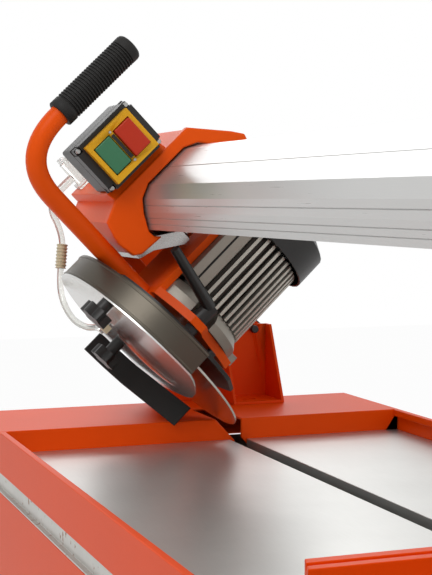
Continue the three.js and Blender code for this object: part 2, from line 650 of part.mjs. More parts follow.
const innerU = [guardInner + gap, guardInner + 6];
const innerGuard = [...arc(0, spindleHigh, 148, Math.PI * 0.12, Math.PI * 0.86, 16), ...arc(0, spindleHigh, 138,
  Math.PI * 1.02, Math.PI * 1.16, 4), [-84, 100], [70, 100], [120, 130]];
add(bridge, 'inner_guard', cut(
  join(
    alongX(outline(innerGuard), innerU[0], innerU[1]),
    ...[[-60, 150], [60, 150], [60, 235]].map(([y, w]) => rodX(y, w, 7, innerU[1] - 1, plateU - gap, 12)),
  ),
  rodX(0, spindleHigh, 40, 0, 60, 32),
  block(0, 60, handleY - 26, handleY + 26, limbW[0] - 6, 400),
  block(0, 60, -160, 160, 318, 400),
), black);

// Star knobs of the guard cover: the screw passes the cover and ends short of the blade.
for (const [name, y, w, neck] of knobSpots) {
  add(bridge, `${name}_cover_knob`, join(
    rodX(y, w, 4, coverU[0] - neck, coverU[1] + 4, 16),
    rodX(y, w, 9, coverU[0] - neck - 3, coverU[0] - gap, 16),
    alongX(outline(lobes(y, w, 15, 21, 6)), coverU[0] - neck - 18, coverU[0] - neck - 2),
  ), black);
}

// Splash flap: a rubber sheet on the blade's outer side, from the guard's rear down to the table.
const flap = [[152, 226], [141, 190], [121, 158], [22, 88], [19, 90], [117, 161], [137, 191], [148, 226]];
add(bridge, 'splash_flap', alongX(outline(flap), -54, guardOuter - 5), rubber);

// Handle: a tube on the elbow of the motor plate that leans forward and bends over into a ribbed grip.
const corner = V3(...handleCorner);
const knee = V3(handleU, handleY, handleFoot + 25);
const kneeReach = 15;
const lean = corner.clone().sub(knee).normalize();
const kneeStart = knee.clone().add(V3(0, 0, -kneeReach));
const kneeEnd = knee.clone().addScaledVector(lean, kneeReach);
const bendStart = corner.clone().addScaledVector(lean, -handleBend);
const bendEnd = corner.clone().add(V3(handleBend, 0, 0));
const path = new THREE.CurvePath();
path.add(new THREE.LineCurve3(V3(handleU, handleY, handleFoot), kneeStart));
path.add(new THREE.QuadraticBezierCurve3(kneeStart, knee, kneeEnd));
path.add(new THREE.LineCurve3(kneeEnd, bendStart));
path.add(new THREE.QuadraticBezierCurve3(bendStart, corner, bendEnd));
path.add(new THREE.LineCurve3(bendEnd, V3(gripStart + gripLength - 6, corner.y, corner.z)));
function tubeAlong(curve, r, sides, steps) {
  return new THREE.ExtrudeGeometry(outline(disc(0, 0, r, sides)), { steps, extrudePath: curve });
}
add(bridge, 'handle_tube', tubeAlong(path, tubeR, 16, 48), castOrange);
const gripEnd = gripStart + gripLength;
const bore = tubeR + gap;
const gripProfile = [[bore, gripStart], [gripR, gripStart], [gripR, gripEnd - 3], [gripR - 3, gripEnd], [0, gripEnd],
  [0, gripEnd - 5], [bore, gripEnd - 5], [bore, gripStart]];
add(bridge, 'grip', turned(gripProfile, corner.y, corner.z, 32), rubber);

// Clamp lever of the plunge: a screw in the motor plate, a hub and an arm.
const leverTip = [94, -104, 300];
const leverHub = [plateBack + 22, leverY - 6, leverW + 4];
const leverLine = V3(...leverTip).sub(V3(...leverHub));
const leverTurn = new THREE.Quaternion().setFromUnitVectors(V3(0, 1, 0), leverLine.clone().normalize());
const leverArm = new THREE.CylinderGeometry(6.5, 9, leverLine.length(), 12)
  .translate(0, leverLine.length() / 2, 0).applyQuaternion(leverTurn).translate(...leverHub);
add(bridge, 'clamp_lever', join(
  rodX(leverY, leverW, 5, plateU - 6, leverHub[0], 16),
  rodX(leverY - 1, leverW + 2, 12, plateBack + gap, motorStart - 2, 16),
  rodX(leverY, leverW, 10, plateU - 9, plateU - gap, 6),
  leverArm,
), black);

// Water valve on the carriage, and the clear hose from it to the elbow on the guard cover.
const valve = { u: 110, y: 120, w: padTop + 20, spout: 72 };
add(bridge, 'water_valve', join(
  block(valve.u - 11, valve.u + 11, valve.y - 12, valve.y + 12, padTop + gap, padTop + 8),
  rodZ(valve.u, valve.y, 9, padTop + 6, padTop + 44, 16),
  rodX(valve.y, valve.w, 6, valve.spout, valve.u, 16),
  block(valve.u - 4, valve.u + 4, valve.y - 18, valve.y + 18, padTop + 42, padTop + 50),
), clearPvc);

const hoseR = 4.5;
const hosePoints = [
  [valve.spout - gap, valve.y, valve.w], [valve.spout - 5, valve.y, valve.w], [57, 120, 420], [47, 119, 409],
  [41, 117, 394], [34, 115, 380], [24, 112.5, 367], [11, 110, 356], [-2, 107, 346], [-14, 103, 336],
  [-26, 96, 325], [-36, 86, 312], [-43, 72, 299], [-46, 54, 287], [-43, 34, 276], [-38, 20, 272],
  [elbow[0], elbow[1] + 19, elbow[2]], [elbow[0], elbow[1] + 14 + gap, elbow[2]],
];
const hoseCurve = new THREE.CatmullRomCurve3(hosePoints.map((p) => V3(...p)), false, 'centripetal');
add(bridge, 'hose', tubeAlong(hoseCurve, hoseR, 8, 36), clearPvc);

// Ribbed connector: a sleeve round the straight stretch of the hose.
const sleeveFrom = V3(...hosePoints[6]);
const sleeveTo = V3(...hosePoints[8]);
const sleeveLine = sleeveTo.clone().sub(sleeveFrom);
const sleeve = new THREE.LatheGeometry([V2(hoseR + 0.9, 0), V2(8, 0), V2(8, sleeveLine.length()),
  V2(hoseR + 0.9, sleeveLine.length()), V2(hoseR + 0.9, 0)], 20);
sleeve.applyQuaternion(new THREE.Quaternion().setFromUnitVectors(V3(0, 1, 0), sleeveLine.normalize()));
add(bridge, 'hose_connector', sleeve.translate(...sleeveFrom), cream);

// ---------------------------------------------------------------- frame of the finished part
root.updateMatrixWorld(true);
const size = new THREE.Box3().setFromObject(root, true);
root.position.set(-(size.min.x + size.max.x) / 2, -(size.min.y + size.max.y) / 2, -size.min.z);

export default root;
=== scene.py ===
import math

import bmesh
import bpy
from mathutils import Matrix, Vector


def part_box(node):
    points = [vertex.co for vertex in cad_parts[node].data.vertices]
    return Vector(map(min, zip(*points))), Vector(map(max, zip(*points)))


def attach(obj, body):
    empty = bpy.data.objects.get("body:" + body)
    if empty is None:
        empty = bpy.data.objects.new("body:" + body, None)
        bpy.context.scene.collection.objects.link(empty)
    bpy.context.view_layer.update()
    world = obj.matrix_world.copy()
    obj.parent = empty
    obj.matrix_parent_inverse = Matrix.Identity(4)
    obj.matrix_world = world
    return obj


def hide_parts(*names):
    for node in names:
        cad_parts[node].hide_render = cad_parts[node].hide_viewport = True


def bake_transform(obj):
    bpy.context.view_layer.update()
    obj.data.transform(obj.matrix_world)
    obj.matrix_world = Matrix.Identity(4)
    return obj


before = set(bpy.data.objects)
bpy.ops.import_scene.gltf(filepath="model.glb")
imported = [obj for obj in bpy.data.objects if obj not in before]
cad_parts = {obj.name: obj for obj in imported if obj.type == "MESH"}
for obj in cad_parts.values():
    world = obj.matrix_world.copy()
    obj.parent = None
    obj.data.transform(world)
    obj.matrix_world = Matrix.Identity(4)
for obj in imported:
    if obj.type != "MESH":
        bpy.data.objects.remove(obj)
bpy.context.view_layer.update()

# Tile cutter: looks for a bench saw whose motor head slides along a tilting overhead rail.
# Lengths inside the functions are millimetres in the stand's or the bridge's axes. MM turns them to metres.
MM = 0.001
BEVEL = math.radians(44)
FRAME_LEFT = 333                 # outer face of the left rail from the drawing's origin
OPENING_BACK = 30                # inner edge of the back member
PIVOT = Vector((15, 0, -30))     # bevel axis

left_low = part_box("left_rail")[0]
back_low, back_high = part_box("back_member")
ORIGIN = Vector((left_low.x + FRAME_LEFT * MM, back_low.y - OPENING_BACK * MM, back_high.z))
STAND = Matrix.Translation(ORIGIN)
BRIDGE = Matrix.Translation(ORIGIN + PIVOT * MM) @ Matrix.Rotation(-BEVEL, 4, "Y")


# ---------------------------------------------------------------- camera
def make_camera():
    data = bpy.data.cameras.new("camera")
    data.sensor_width = 36
    data.lens = 87.9
    camera = bpy.data.objects.new("camera", data)
    camera.location = ORIGIN + Vector((-711, -1846, 316)) * MM
    camera.rotation_euler = (math.radians(86.39), 0, math.radians(-20.25))
    bpy.context.scene.collection.objects.link(camera)
    bpy.context.scene.camera = camera


make_camera()


# ---------------------------------------------------------------- reading the frame
def points_of(node, space):
    """A CAD node's vertices in the stand's or the bridge's axes, in millimetres."""
    inverse = space.inverted()
    return [(inverse @ v.co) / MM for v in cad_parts[node].data.vertices]


def span(node, space):
    """A CAD node's lowest and highest corners in the stand's or the bridge's axes."""
    points = points_of(node, space)
    low = Vector([min(p[i] for p in points) for i in range(3)])
    high = Vector([max(p[i] for p in points) for i in range(3)])
    return low, high


# ---------------------------------------------------------------- materials
BLOTCH_SCALE = 9


def finish(name, colour, rough, metal=0.0, grain=300, stretch=(1, 1, 1), bump=0.03, shade=0.12, spread=0.06,
           specular=0.5, transmission=0.0):
    """A principled material with fine grain, broad colour variation and varied roughness."""
    made = bpy.data.materials.new(name)
    made.use_nodes = True
    nodes, links = made.node_tree.nodes, made.node_tree.links
    shader = nodes["Principled BSDF"]
    shader.inputs["Metallic"].default_value = metal
    shader.inputs["Specular IOR Level"].default_value = specular
    shader.inputs["Transmission Weight"].default_value = transmission
    place = nodes.new("ShaderNodeTexCoord")
    mapping = nodes.new("ShaderNodeMapping")
    mapping.inputs["Scale"].default_value = stretch
    fine = nodes.new("ShaderNodeTexNoise")
    fine.inputs["Scale"].default_value = grain
    fine.inputs["Detail"].default_value = 5
    broad = nodes.new("ShaderNodeTexNoise")
    broad.inputs["Scale"].default_value = BLOTCH_SCALE
    broad.inputs["Detail"].default_value = 4
    links.new(place.outputs["Object"], mapping.inputs["Vector"])
    links.new(mapping.outputs["Vector"], fine.inputs["Vector"])
    links.new(place.outputs["Object"], broad.inputs["Vector"])
    blend = nodes.new("ShaderNodeMix")
    blend.data_type = "RGBA"
    blend.inputs["A"].default_value = (*[c * (1 - shade) for c in colour], 1)
    blend.inputs["B"].default_value = (*[min(1, c * (1 + shade)) for c in colour], 1)
    links.new(broad.outputs["Fac"], blend.inputs["Factor"])
    links.new(blend.outputs["Result"], shader.inputs["Base Color"])
    vary = nodes.new("ShaderNodeMapRange")
    vary.inputs["To Min"].default_value = rough - spread
    vary.inputs["To Max"].default_value = rough + spread
    links.new(fine.outputs["Fac"], vary.inputs["Value"])
    links.new(vary.outputs["Result"], shader.inputs["Roughness"])
    relief = nodes.new("ShaderNodeBump")
    relief.inputs["Strength"].default_value = bump
    relief.inputs["Distance"].default_value = 0.001
    links.new(fine.outputs["Fac"], relief.inputs["Height"])
    links.new(relief.outputs["Normal"], shader.inputs["Normal"])
    return made


def specked(made, colour, scale, threshold):
    """Adds small spots of another colour, such as rust, over a finish."""
    nodes, links = made.node_tree.nodes, made.node_tree.links
    shader = nodes["Principled BSDF"]
    base = shader.inputs["Base Color"].links[0].from_socket
    place = next(n for n in nodes if n.type == "TEX_COORD")
    spots = nodes.new("ShaderNodeTexNoise")
    spots.inputs["Scale"].default_value = scale
    spots.inputs["Detail"].default_value = 6
    links.new(place.outputs["Object"], spots.inputs["Vector"])
    pick = nodes.new("ShaderNodeMapRange")
    pick.inputs["From Min"].default_value = threshold
    pick.inputs["From Max"].default_value = threshold + 0.06
    links.new(spots.outputs["Fac"], pick.inputs["Value"])
    blend = nodes.new("ShaderNodeMix")
    blend.data_type = "RGBA"
    blend.inputs["B"].default_value = (*colour, 1)
    links.new(base, blend.inputs["A"])
    links.new(pick.outputs["Result"], blend.inputs["Factor"])
    links.new(blend.outputs["Result"], shader.inputs["Base Color"])
    return made


def paint_shade_inwards(made, colour, centre, inner, outer):
    """Paints shade into a finish towards an axis along x, as in the hollows between cooling fins. Lengths are
    in millimetres.
    """
    nodes, links = made.node_tree.nodes, made.node_tree.links
    shader = nodes["Principled BSDF"]
    base = shader.inputs["Base Color"].links[0].from_socket
    place = next(n for n in nodes if n.type == "TEX_COORD")
    offset = nodes.new("ShaderNodeVectorMath")
    offset.operation = "SUBTRACT"
    offset.inputs[1].default_value = [c * MM for c in centre]
    flat = nodes.new("ShaderNodeVectorMath")
    flat.operation = "MULTIPLY"
    flat.inputs[1].default_value = (0, 1, 1)
    radius = nodes.new("ShaderNodeVectorMath")
    radius.operation = "LENGTH"
    links.new(place.outputs["Object"], offset.inputs[0])
    links.new(offset.outputs["Vector"], flat.inputs[0])
    links.new(flat.outputs["Vector"], radius.inputs[0])
    pick = nodes.new("ShaderNodeMapRange")
    pick.inputs["From Min"].default_value = inner * MM
    pick.inputs["From Max"].default_value = outer * MM
    links.new(radius.outputs["Value"], pick.inputs["Value"])
    blend = nodes.new("ShaderNodeMix")
    blend.data_type = "RGBA"
    blend.inputs["A"].default_value = (*colour, 1)
    links.new(base, blend.inputs["B"])
    links.new(pick.outputs["Result"], blend.inputs["Factor"])
    links.new(blend.outputs["Result"], shader.inputs["Base Color"])
    return made


SPINDLE = Vector((0, 0, 193))    # spindle axis in the bridge's axes
# Radii in millimetres over which the painted shade on the fins fades out towards the tips
FIN_ROOT = 66
FIN_TIP = 75
ORANGE = (0.92, 0.078, 0.0)
CAST_ORANGE = (0.96, 0.105, 0.003)
BLACK = (0.012, 0.011, 0.010)
looks = {
    "frame_orange": finish("powder_coat", ORANGE, 0.42, grain=700, bump=0.10, shade=0.04, specular=0.12),
    "head_orange": finish("cast_paint", CAST_ORANGE, 0.40, grain=380, bump=0.16, shade=0.04, specular=0.14),
    "galvanised": specked(
        finish("zinc_sheet", (0.52, 0.51, 0.48), 0.38, 0.85, grain=60, bump=0.05, shade=0.2),
        (0.23, 0.09, 0.03), 90, 0.62),
    "table_plate": finish("plate", (0.56, 0.56, 0.54), 0.36, 0.85, grain=500, stretch=(1, 0.06, 1),
                          shade=0.1),
    "rail_aluminium": finish("anodised", (0.60, 0.60, 0.59), 0.30, 0.6, grain=900, stretch=(1, 0.012, 1),
                             bump=0.05, shade=0.03),
    "motor_casting": finish("sand_casting", (0.30, 0.275, 0.235), 0.48, 0.6, grain=420, bump=0.22,
                            shade=0.15),
    # The guard's satin steel is given a very dark colour as a painted reflection of dark surroundings
    "guard_steel": finish("satin_steel_dark_reflection", (0.085, 0.074, 0.058), 0.34, 0.8, grain=600, bump=0.03, shade=0.08),
    "cover_steel": finish("light_steel", (0.62, 0.62, 0.60), 0.24, 0.85, grain=500, bump=0.02, shade=0.05),
    "rubber": finish("rubber", BLACK, 0.62, grain=800, bump=0.12, shade=0.3, specular=0.3),
    "blade_steel": finish("ground_steel", (0.56, 0.55, 0.50), 0.22, 1.0, grain=500, bump=0.03, shade=0.05),
    "clear_plastic": finish("clear_pvc", (0.86, 0.86, 0.82), 0.16, transmission=0.85, grain=120, bump=0.03,
                            shade=0.03),
    "cream_plastic": finish("cream_moulding", (0.72, 0.62, 0.42), 0.45, grain=500, bump=0.06, shade=0.06),
    "yellow_plastic": finish("yellow_moulding", (0.86, 0.44, 0.01), 0.40, grain=600, bump=0.05, shade=0.05,
                             specular=0.3),
    "green_plastic": finish("green_moulding", (0.035, 0.19, 0.085), 0.36, grain=600, bump=0.05, shade=0.1),
    "red_plastic": finish("red_moulding", (0.56, 0.030, 0.006), 0.36, grain=600, bump=0.05, shade=0.1,
                          specular=0.3),
    "black_plastic": finish("black_moulding", (0.014, 0.013, 0.012), 0.42, grain=900, bump=0.12, shade=0.2,
                            specular=0.4),
    # Machined steel, its grey partly real and partly darkened as painted shade for the roller bracket, which
    # sits in shadow behind the roller
    "machined_steel": finish("machined", (0.40, 0.40, 0.39), 0.28, 1.0, grain=400, bump=0.03, shade=0.06),
}
# The motor body's fins: painted shade darkens the casting towards the fin roots, and the tips keep the
# lighter colour
fin_painted_shade_look = paint_shade_inwards(
    finish("fin_casting_painted_shade", (0.52, 0.50, 0.44), 0.44, 0.6, grain=420, bump=0.2, shade=0.12),
    (0.035, 0.028, 0.022), SPINDLE, FIN_ROOT + 1, FIN_TIP)


# ---------------------------------------------------------------- mesh helpers
def piece(name, bm, body, slot, space, stands_for=(), sharp=38, weighted=True, look=None):
    """Finishes a bmesh drawn in millimetres as a named piece that rides on a body, or on none."""
    bmesh.ops.recalc_face_normals(bm, faces=bm.faces)
    mesh = bpy.data.meshes.new(name)
    bm.to_mesh(mesh)
    bm.free()
    mesh.transform(Matrix.Scale(MM, 4))
    mesh.shade_smooth()
    mesh.set_sharp_from_angle(angle=math.radians(sharp))
    made = bpy.data.objects.new(name, mesh)
    bpy.context.scene.collection.objects.link(made)
    made.matrix_world = space
    mesh.materials.append(look or looks[slot])
    if weighted:
        made.modifiers.new("weighted", "WEIGHTED_NORMAL").keep_sharp = True
    if body:
        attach(made, body)
    if stands_for:
        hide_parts(*stands_for)
    return made


def bevel_sharp(bm, width, segments=3, angle=32):
    """Rounds the edges that turn by more than the angle."""
    limit = math.radians(angle)
    edges = [e for e in bm.edges if len(e.link_faces) == 2 and e.calc_face_angle() > limit]
    if edges:
        bmesh.ops.bevel(bm, geom=edges, offset=width, segments=segments, profile=0.6, affect="EDGES",
                        clamp_overlap=True)


def solid_of(node, space):
    """A CAD node's solid as a clean bmesh in millimetres, its flat faces whole."""
    bm = bmesh.new()
    bm.from_mesh(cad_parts[node].data)
    bmesh.ops.remove_doubles(bm, verts=bm.verts, dist=1e-6)
    bm.transform(Matrix.Scale(1 / MM, 4) @ space.inverted())
    bmesh.ops.dissolve_limit(bm, angle_limit=math.radians(0.6), verts=bm.verts, edges=bm.edges)
    return bm


def edged(node, body, slot, space, width=1.2, segments=2, look=None):
    """A CAD node with its edges rounded, standing for the node."""
    bm = solid_of(node, space)
    bevel_sharp(bm, width, segments)
    return piece(node + "_shell", bm, body, slot, space, (node,), look=look)


def ring_of(bm, points):
    return [bm.verts.new(p) for p in points]


def skin(bm, rings, closed=False, caps=True):
    """Joins rings of equal size into a skin, capped at its ends unless it closes on itself."""
    count = len(rings[0])
    pairs = list(zip(rings, rings[1:]))
    if closed:
        pairs.append((rings[-1], rings[0]))
    for a, b in pairs:
        for i in range(count):
            j = (i + 1) % count
            bm.faces.new((a[i], a[j], b[j], b[i]))
    if caps and not closed:
        bm.faces.new(list(reversed(rings[0])))
        bm.faces.new(rings[-1])


def prism(bm, outline, start, end, axis=0):
    """A straight prism. Axis 0 draws it in (y, w) along u, 1 in (u, w) along y, 2 in (u, y) along w."""
    rings = []
    for along in (start, end):
        points = []
        for a, b in outline:
            point = [a, b]
            point.insert(axis, along)
            points.append(point)
        rings.append(ring_of(bm, points))
    skin(bm, rings)


def lathe(bm, profile, centre, axis=0, sides=48, start=0.0, sweep=2 * math.pi):
    """Turns a profile of (radius, along) about a line through centre. A part turn leaves a closed strip."""
    full = sweep > 2 * math.pi - 0.001
    steps = sides if full else sides + 1
    rings = []
    for i in range(steps):
        a = start + sweep * i / sides
        points = []
        for radius, along in profile:
            point = [centre[0] + radius * math.cos(a), centre[1] + radius * math.sin(a)]
            point.insert(axis, along)
            points.append(point)
        rings.append(ring_of(bm, points))
    skin(bm, rings, closed=full, caps=not full)
    bmesh.ops.remove_doubles(bm, verts=bm.verts, dist=1e-4)


def rounded_box(bm, low, high, radius, segments=3):
    """A block with rounded edges."""
    part = bmesh.new()
    bmesh.ops.create_cube(part, size=1)
    size = [high[i] - low[i] for i in range(3)]
    middle = [(high[i] + low[i]) / 2 for i in range(3)]
    part.transform(Matrix.Translation(middle) @ Matrix.Diagonal((*size, 1)))
    bmesh.ops.bevel(part, geom=part.edges[:], offset=radius, segments=segments, profile=0.6, affect="EDGES")
    pour(bm, part)


def pour(bm, part):
    """Adds one bmesh to another."""
    mesh = bpy.data.meshes.new("part")
    part.to_mesh(mesh)
    part.free()
    bm.from_mesh(mesh)
    bpy.data.meshes.remove(mesh)


def bolt(bm, at, direction, across, head, washer=1.5):
    """A hex head with a chamfered top, on a washer, standing at a point and facing along a direction."""
    part = bmesh.new()
    radius = across / 2 / math.cos(math.pi / 6)
    disc = [(0, 0), (radius * 1.25, 0), (radius * 1.25, washer), (0, washer)]
    lathe(part, disc, (0, 0), axis=2, sides=24)
    rings = []
    for scale, z in ((1, washer), (1, washer + head * 0.8), (0.86, washer + head)):
        rings.append(ring_of(part, [(radius * scale * math.cos(math.pi * i / 3),
                                     radius * scale * math.sin(math.pi * i / 3), z) for i in range(6)]))
    skin(part, rings)
    turn = Vector((0, 0, 1)).rotation_difference(Vector(direction)).to_matrix().to_4x4()
    part.transform(Matrix.Translation(at) @ turn)
    pour(bm, part)


def inset(outline, depth):
    """A closed outline moved inwards by a depth if its points run anticlockwise, or outwards if clockwise."""
    moved = []
    for i, here in enumerate(outline):
        before, after = Vector(outline[i - 1]), Vector(outline[(i + 1) % len(outline)])
        into = (Vector(here) - before).normalized()
        away = (after - Vector(here)).normalized()
        normal = Vector((-into.y - away.y, into.x + away.x)).normalized()
        reach = depth / max(0.5, normal.dot(Vector((-into.y, into.x))))
        moved.append(tuple(Vector(here) + normal * reach))
    return moved


def smooth_line(points, steps):
    """A centripetal curve through the points, as closely spaced points."""
    given = [Vector(p) for p in points]
    ends = [given[0] * 2 - given[1], *given, given[-1] * 2 - given[-2]]
    line = []
    for i in range(len(given) - 1):
        p = ends[i:i + 4]
        t = [0.0]
        for a, b in zip(p, p[1:]):
            t.append(t[-1] + math.sqrt((b - a).length))
        for k in range(steps):
            x = t[1] + (t[2] - t[1]) * k / steps
            a1 = p[0].lerp(p[1], (x - t[0]) / (t[1] - t[0]))
            a2 = p[1].lerp(p[2], (x - t[1]) / (t[2] - t[1]))
            a3 = p[2].lerp(p[3], (x - t[2]) / (t[3] - t[2]))
            b1 = a1.lerp(a2, (x - t[0]) / (t[2] - t[0]))
            b2 = a2.lerp(a3, (x - t[1]) / (t[3] - t[1]))
            line.append(b1.lerp(b2, (x - t[1]) / (t[2] - t[1])))
    line.append(given[-1])
    return line


def tube(bm, line, radius, sides):
    """A tube along a line of points, or a ribbed one where the radius is a function of the point's number."""
    normal = None
    rings = []
    for i, point in enumerate(line):
        ahead = line[min(i + 1, len(line) - 1)] - line[max(i - 1, 0)]
        ahead.normalize()
        if normal is None:
            normal = ahead.orthogonal().normalized()
        normal = (normal - ahead * normal.dot(ahead)).normalized()
        other = ahead.cross(normal)
        r = radius(i) if callable(radius) else radius
        rings.append(ring_of(bm, [point + (normal * math.cos(2 * math.pi * k / sides)
                                           + other * math.sin(2 * math.pi * k / sides)) * r
                                  for k in range(sides)]))
    skin(bm, rings)


# ---------------------------------------------------------------- water hose, the one cord
HOSE_R = 4.5
CONNECTOR_R = 8
HOSE_ROUTE = [
    (71.7, 120, 424), (67, 120, 424), (57, 120, 420), (47, 119, 409), (41, 117, 394), (34, 115, 380),
    (24, 112.5, 367), (11, 110, 356), (-2, 107, 346), (-14, 103, 336), (-26, 96, 325), (-36, 86, 312),
    (-43, 72, 299), (-46, 54, 287), (-43, 34, 276), (-38, 20, 272), (-36, 11, 271), (-36, 6.3, 271),
]


def make_hose():
    line = smooth_line(HOSE_ROUTE, 5)
    bm = bmesh.new()
    tube(bm, line, HOSE_R, 16)
    bm.transform(Matrix.Scale(1 / MM, 4) @ BRIDGE @ Matrix.Scale(MM, 4))
    hose = piece("water_hose", bm, None, "clear_plastic", Matrix.Identity(4), ("hose",), weighted=False)

    ribs = bmesh.new()
    start, end = Vector(HOSE_ROUTE[6]), Vector(HOSE_ROUTE[8])
    count = 28
    sleeve = [start.lerp(end, i / count) for i in range(count + 1)]
    tube(ribs, sleeve, lambda i: CONNECTOR_R - (1.3 if i % 4 in (2, 3) else 0), 24)
    connector = piece("ribbed_connector", ribs, None, "cream_plastic", BRIDGE, ("hose_connector",),
                      weighted=False)
    for flexible in (hose, connector):
        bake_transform(flexible)


make_hose()


# ---------------------------------------------------------------- stand
def make_stand():
    for node in ("left_rail", "right_rail", "back_member", "front_member"):
        edged(node, "stand", "frame_orange", STAND, 1.6, 3)
    edged("lower_body", "stand", "frame_orange", STAND, 0.9)
    edged("water_tray", "stand", "galvanised", STAND, 0.5)
    edged("water_pump", "stand", "black_plastic", STAND, 1.5)
    edged("table_left", "stand", "table_plate", STAND, 1.0)
    edged("table_right", "stand", "table_plate", STAND, 1.0)
    edged("fence_left", "stand", "frame_orange", STAND, 1.2)
    edged("fence_right", "stand", "frame_orange", STAND, 1.2)
    edged("rear_bracket", "stand", "frame_orange", STAND, 1.3)
    edged("front_bracket", "stand", "frame_orange", STAND, 1.3)
    edged("rear_pivot_pin", "stand", "machined_steel", STAND, 0.8)
    edged("front_pivot_pin", "stand", "machined_steel", STAND, 0.8)
    edged("rear_bevel_knob", "rear_clamp", "black_plastic", STAND, 1.5)
    edged("front_bevel_knob", "front_clamp", "black_plastic", STAND, 1.5)
    edged("rear_legs", "rear_leg_frame", "frame_orange", STAND, 0.8)
    edged("front_legs", "front_leg_frame", "frame_orange", STAND, 0.8)
    for end in ("rear", "front"):
        for side in ("left", "right"):
            edged(f"{end}_{side}_foot", f"{end}_leg_frame", "rubber", STAND, 1.0)


make_stand()


# ---------------------------------------------------------------- rail and arms
def lined(start, end, count, wide=1.4, deep=0.9):
    """A facet of the rail's section from start to end, with fine V lines spaced along it."""
    start, end = Vector(start), Vector(end)
    along = (end - start).normalized()
    inwards = Vector((along.y, -along.x))
    points = [start]
    for i in range(count):
        at = start.lerp(end, (i + 1) / (count + 1))
        points += [at - along * wide / 2, at + inwards * deep, at + along * wide / 2]
    return points


RAIL_FLAT = 34.5                 # half width of the rail's top and underside
RAIL_CORNERS = [(75.5, 44), (63.5, 23), (52.5, 9), (RAIL_FLAT, 0)]   # half width, and depth below the top


def make_rail():
    low, high = span("rail", BRIDGE)
    middle, top = (low.x + high.x) / 2, high.z
    left = [(middle - half, top - drop) for half, drop in RAIL_CORNERS]
    left.insert(0, (middle - RAIL_FLAT, low.z))
    right = [(2 * middle - u, w) for u, w in reversed(left)]
    section = []
    path = left + right
    lines = (2, 2, 1, 0, 1, 0, 1, 2, 2)
    for a, b, count in zip(path, path[1:], lines):
        section += lined(a, b, count)
    section.append(Vector(path[-1]))
    bm = bmesh.new()
    prism(bm, [tuple(p) for p in section], low.y, high.y, axis=1)
    piece("rail_extrusion", bm, "bridge", "rail_aluminium", BRIDGE, ("rail",), sharp=5)
    edged("rear_arm", "bridge", "frame_orange", BRIDGE, 1.2)
    edged("front_arm", "bridge", "frame_orange", BRIDGE, 1.2)


make_rail()


# ---------------------------------------------------------------- carriage
CASTING = [
    (280, 318), (284, 330), (272, 346), (229, 393), (90, 393), (60, 379), (54, 357), (52.5, 345), (56, 322),
    (66, 315), (103, 312), (95, 320), (94, 330), (106, 352.5), (118, 367.5), (138, 376.5), (207, 376.5),
    (227, 367.5), (239, 352.5), (251, 330), (256, 318),
]


def make_carriage():
    front, back, flange = -60, 145, 14
    bm = bmesh.new()
    parts = ((CASTING, front, front + flange, 3.2), (inset(CASTING, 2.5), front + 10, back, 2.5))
    for outline, y0, y1, width in parts:
        part = bmesh.new()
        prism(part, outline, y0, y1, axis=1)
        bmesh.ops.recalc_face_normals(part, faces=part.faces)
        bevel_sharp(part, width, 3, angle=55)
        pour(bm, part)
    part = bmesh.new()
    pad = [(front + 1, 388), (front + 13, 404), (back, 404), (back, 388)]
    prism(part, pad, 89, 190)
    bmesh.ops.recalc_face_normals(part, faces=part.faces)
    bevel_sharp(part, 2, 3)
    pour(bm, part)
    part = bmesh.new()
    hinge_y, hinge_w, reach = 130, 204, 15
    leg = [(hinge_y - reach, 318), (hinge_y - reach, hinge_w)]
    leg += [(hinge_y - reach * math.cos(math.pi * i / 12), hinge_w - reach * math.sin(math.pi * i / 12))
            for i in range(1, 12)]
    leg += [(hinge_y + reach, hinge_w), (hinge_y + reach, 318)]
    prism(part, leg, 62, 93)
    bmesh.ops.recalc_face_normals(part, faces=part.faces)
    bevel_sharp(part, 2, 3)
    pour(bm, part)
    piece("carriage_casting", bm, "carriage", "head_orange", BRIDGE, ("carriage",))
    # The roller bracket's machined steel is partly darkened as painted shade
    edged("roller_bracket", "carriage", "machined_steel", BRIDGE, 0.8)
    for i in (1, 2):
        edged(f"top_roller_{i}", f"top_roller_{i}", "machined_steel", BRIDGE, 0.8)
        edged(f"lower_roller_{i}", f"lower_roller_{i}", "machined_steel", BRIDGE, 0.8)
    edged("carriage_lock_knob", "carriage_lock", "black_plastic", BRIDGE, 1.6, 3)
    edged("water_valve", "carriage", "clear_plastic", BRIDGE, 1.2, 3)
    edged("plunge_pin", "carriage", "machined_steel", BRIDGE, 0.8)


make_carriage()


